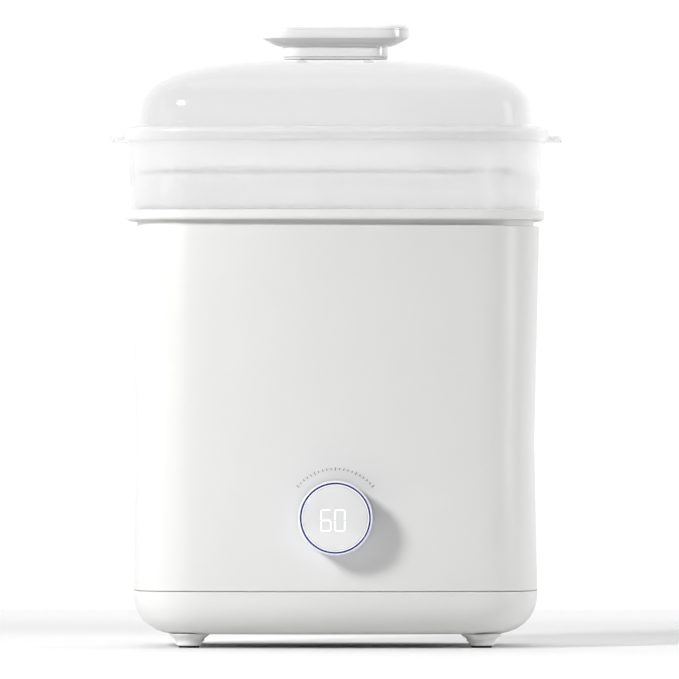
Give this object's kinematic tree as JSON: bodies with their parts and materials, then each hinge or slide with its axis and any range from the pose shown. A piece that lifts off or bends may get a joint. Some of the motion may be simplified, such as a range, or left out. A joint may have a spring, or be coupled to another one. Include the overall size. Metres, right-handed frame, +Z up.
{
  "type": "bottle sterilizer",
  "caption": "Worktop steam sterilizer and dryer for baby bottles: tall white base with a front dial and screen, frosted upper tier, clear domed lid with an oblong handle.",
  "frame": {"origin": "centre of the whole object's box in plan, on the surface it stands on", "axes": "+Z up, the knob and screen face -Y, +X is the user's right"},
  "size_m": [0.2998, 0.2374, 0.4126],
  "materials": {
    "white_abs": "moulded ABS, satin gloss white",
    "white_pp": "moulded polypropylene, white",
    "frosted_pp": "frosted translucent polypropylene",
    "clear_lid": "clear slightly grey polypropylene",
    "handle_white": "high gloss white ABS",
    "silicone_grey": "soft silicone",
    "foot_rubber": "soft dark rubber",
    "stainless": "brushed stainless steel",
    "sheathed_steel": "heat tinted steel sheath",
    "zinc_steel": "zinc plated steel",
    "black_nylon": "black nylon",
    "grey_abs": "grey ABS",
    "green_board": "solder mask over glass laminate",
    "ceramic_heater": "ceramic and aluminium fins",
    "knob_lilac": "pale lilac moulded plastic",
    "knob_navy": "deep navy gloss",
    "screen_face": "pale grey tinted lens, lit digits",
    "filter_foam": "white non-woven filter",
    "copper": "copper winding and brass pins"
  },
  "bodies": {
    "base": {"base_shell": "white_abs", "outer_housing": "white_abs", "housing_screws": "zinc_steel", "feet": "white_abs", "foot_pads": "foot_rubber", "chamber_liner": "white_pp", "heating_plate": "stainless", "plate_seal": "silicone_grey", "plate_clamp": "zinc_steel", "clamp_screws": "zinc_steel", "heating_element": "sheathed_steel", "thermostat": "zinc_steel", "thermal_fuse": "zinc_steel", "temperature_sensor": "copper", "air_duct": "black_nylon", "air_heater": "ceramic_heater", "air_outlet": "white_pp", "blower_housing": "black_nylon", "blower_cover": "black_nylon", "blower_motor": "zinc_steel", "filter_frame": "white_abs", "filter_pad": "filter_foam", "power_inlet": "black_nylon", "inlet_pins": "copper", "main_board": "green_board", "board_screws": "zinc_steel", "relays": "black_nylon", "transformer": "copper", "capacitors": "black_nylon", "wire_headers": "white_pp", "panel_carrier": "grey_abs", "carrier_brackets": "zinc_steel", "carrier_screws": "zinc_steel", "display_board": "green_board", "tact_switch": "black_nylon", "encoder_base": "black_nylon"},
    "rack": {"rack_plate": "white_pp", "rack_pegs": "white_pp", "rack_handles": "white_pp"},
    "tier": {"tray_tier": "frosted_pp", "tray_grid": "frosted_pp"},
    "lid": {"lid_dome": "clear_lid", "neck_seal": "silicone_grey", "handle_neck": "handle_white", "handle_grip": "handle_white", "handle_screws": "clear_lid"},
    "knob": {"knob_ring": "knob_lilac", "accent_ring": "knob_navy", "encoder_rotor": "black_nylon"},
    "screen": {"screen_lens": "screen_face", "digit_display": "screen_face", "screen_carrier": "grey_abs", "switch_button": "black_nylon"},
    "fan": {"motor_shaft": "stainless", "blower_impeller": "black_nylon"},
    "filter_cover": {"filter_door": "white_abs", "door_pin": "stainless"}
  },
  "joints": [
    {"name": "rack_lift", "type": "slide", "parent": "base", "child": "rack", "axis": [0, 0, 1], "range_m": [0, 0.15]},
    {"name": "tier_lift", "type": "slide", "parent": "rack", "child": "tier", "axis": [0, 0, 1], "range_m": [0, 0.1]},
    {"name": "lid_lift", "type": "slide", "parent": "tier", "child": "lid", "axis": [0, 0, 1], "range_m": [0, 0.1]},
    {"name": "knob_turn", "type": "hinge", "parent": "base", "child": "knob", "pos_m": [0, -0.10709, 0.0857], "axis": [0, -1, 0], "continuous": true},
    {"name": "screen_press", "type": "slide", "parent": "base", "child": "screen", "axis": [0, 1, 0], "range_m": [0, 0.0008], "stiffness_N_per_m": 1200, "springref_m": -0.0003},
    {"name": "fan_spin", "type": "hinge", "parent": "base", "child": "fan", "pos_m": [0.066, 0.0589, 0.08], "axis": [0, 1, 0], "continuous": true},
    {"name": "filter_cover_swing", "type": "hinge", "parent": "base", "child": "filter_cover", "pos_m": [0, 0.11074, 0.1164], "axis": [1, 0, 0], "range_deg": [0, 100]}
  ]
}
